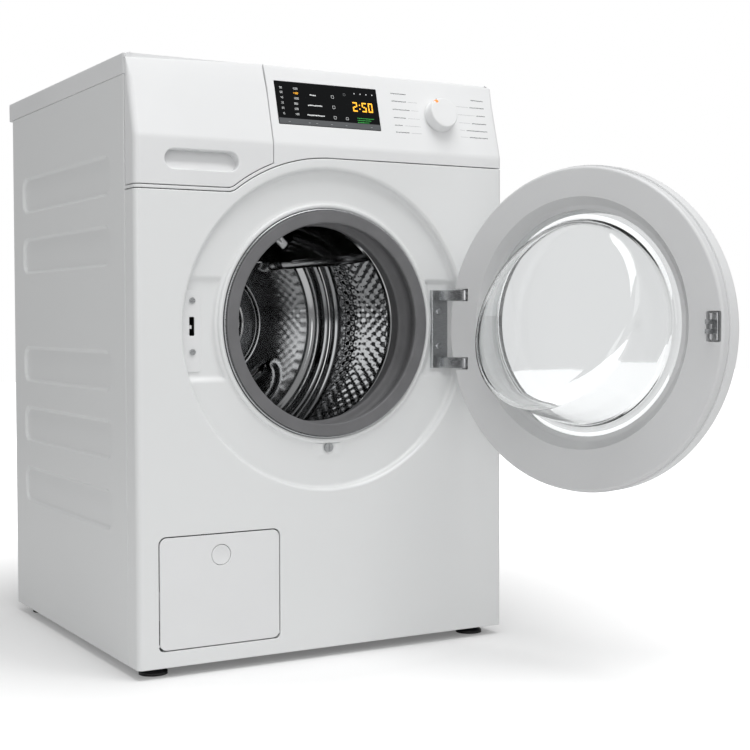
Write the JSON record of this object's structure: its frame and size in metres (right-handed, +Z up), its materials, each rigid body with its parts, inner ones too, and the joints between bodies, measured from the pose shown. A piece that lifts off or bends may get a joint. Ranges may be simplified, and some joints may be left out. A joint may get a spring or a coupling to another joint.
{
  "type": "front load washing machine",
  "caption": "Front-loading washing machine with round glass door open, drum, suspended tub, belt drive, detergent drawer, programme knob, service flap and levelling feet.",
  "frame": {"origin": "on the floor, midway between the four screw feet", "axes": "+X to the machine's right as seen from the front, +Y from the front to the rear, +Z up"},
  "size_m": [0.6685, 1.0367, 0.85],
  "materials": {
    "white_paint": "smooth white enamel",
    "white_plastic": "satin white moulding",
    "pale_plastic": "light grey moulding",
    "galvanised": "galvanised sheet",
    "stainless": "polished stainless sheet",
    "steel": "machined or pressed steel",
    "black_gloss": "black display window",
    "black_plastic": "black moulding",
    "circuit_board": "coated circuit board",
    "tub_plastic": "filled polypropylene",
    "concrete": "cast concrete",
    "cast_alloy": "cast aluminium",
    "cast_iron": "painted motor housing",
    "grey_rubber": "grey moulded rubber",
    "black_rubber": "black rubber",
    "blue_plastic": "blue moulding",
    "door_glass": "clear pressed glass",
    "door_pane": "smoked acrylic"
  },
  "bodies": {
    "cabinet": {"base_frame": "galvanised", "left_side_panel": "white_paint", "right_side_panel": "white_paint", "rear_panel": "galvanised", "service_cover": "galvanised", "front_panel": "white_paint", "lid": "white_plastic", "control_fascia": "white_plastic", "display_window": "black_gloss", "display_board": "circuit_board", "dispenser_housing": "pale_plastic", "screw_feet": "black_plastic", "lock_nuts": "steel", "tub_front": "tub_plastic", "tub_rear": "tub_plastic", "counterweights": "concrete", "suspension_springs": "steel", "dampers": "black_plastic", "drive_motor": "cast_iron", "drive_belt": "black_rubber", "drum_bearings": "steel", "shaft_seal": "black_rubber", "heater": "steel", "door_seal": "grey_rubber", "seal_clamp": "steel", "lock_plate": "white_plastic", "door_lock": "black_plastic", "hinge_bracket": "steel", "panel_screws": "steel", "inlet_valve": "pale_plastic", "fill_hose": "black_rubber", "dispenser_hose": "black_rubber", "sump_hose": "black_rubber", "drain_pump": "pale_plastic", "drain_pipe": "pale_plastic", "mains_inlet": "black_plastic", "power_case": "black_plastic", "transit_plugs": "pale_plastic"},
    "door": {"door_inner_ring": "pale_plastic", "door_outer_ring": "white_plastic", "door_glass": "door_glass", "door_pane": "door_pane", "hinge_pin": "steel"},
    "latch": {"latch_hook": "steel"},
    "drum": {"drum_shell": "stainless", "drum_front": "stainless", "drum_lifters": "stainless", "drum_spider": "cast_alloy", "drum_pulley": "cast_alloy"},
    "rotor": {"motor_pulley": "steel"},
    "drawer": {"drawer_front": "white_plastic", "drawer_tray": "pale_plastic", "siphon_cap": "blue_plastic"},
    "knob": {"programme_knob": "white_plastic"},
    "flap": {"service_flap": "white_plastic"},
    "flap_catch": {"flap_button": "white_plastic"},
    "filter": {"drain_filter": "black_plastic"},
    "impeller": {"pump_impeller": "black_plastic"}
  },
  "joints": [
    {"name": "door_swing", "type": "hinge", "parent": "cabinet", "child": "door", "pos_m": [0.2175, -0.3037, 0.474], "axis": [0, 0, 1], "range_deg": [-108, 8]},
    {"name": "latch_travel", "type": "hinge", "parent": "door", "child": "latch", "pos_m": [0.33401, -0.71955, 0.478], "axis": [0, 0, 1], "range_deg": [0, 6], "stiffness_Nm_per_rad": 0.3},
    {"name": "drum_spin", "type": "hinge", "parent": "cabinet", "child": "drum", "pos_m": [0, -0.015, 0.4825], "axis": [0, 1, 0], "continuous": true},
    {"name": "motor_spin", "type": "hinge", "parent": "cabinet", "child": "rotor", "pos_m": [0.06, 0.195, 0.112], "axis": [0, 1, 0], "continuous": true},
    {"name": "drawer_slide", "type": "slide", "parent": "cabinet", "child": "drawer", "axis": [0, -1, 0], "range_m": [0, 0.2]},
    {"name": "knob_turn", "type": "hinge", "parent": "cabinet", "child": "knob", "pos_m": [0.193, -0.26926, 0.7939], "axis": [0, -0.965, 0.2624], "continuous": true},
    {"name": "flap_swing", "type": "hinge", "parent": "cabinet", "child": "flap", "pos_m": [-0.175, -0.281, 0.0445], "axis": [1, 0, 0], "range_deg": [0, 100]},
    {"name": "flap_press", "type": "slide", "parent": "flap", "child": "flap_catch", "axis": [0, 1, 0], "range_m": [0, 0.003], "stiffness_N_per_m": 400, "springref_m": -0.001},
    {"name": "filter_turn", "type": "hinge", "parent": "cabinet", "child": "filter", "pos_m": [-0.175, -0.255, 0.1], "axis": [0, -1, 0], "range_deg": [0, 270]},
    {"name": "impeller_spin", "type": "hinge", "parent": "cabinet", "child": "impeller", "pos_m": [-0.175, -0.175, 0.1], "axis": [0, 1, 0], "continuous": true}
  ],
  "couplings": [
    {"joint": "motor_spin", "follows": "drum_spin", "ratio": 13.636}
  ]
}
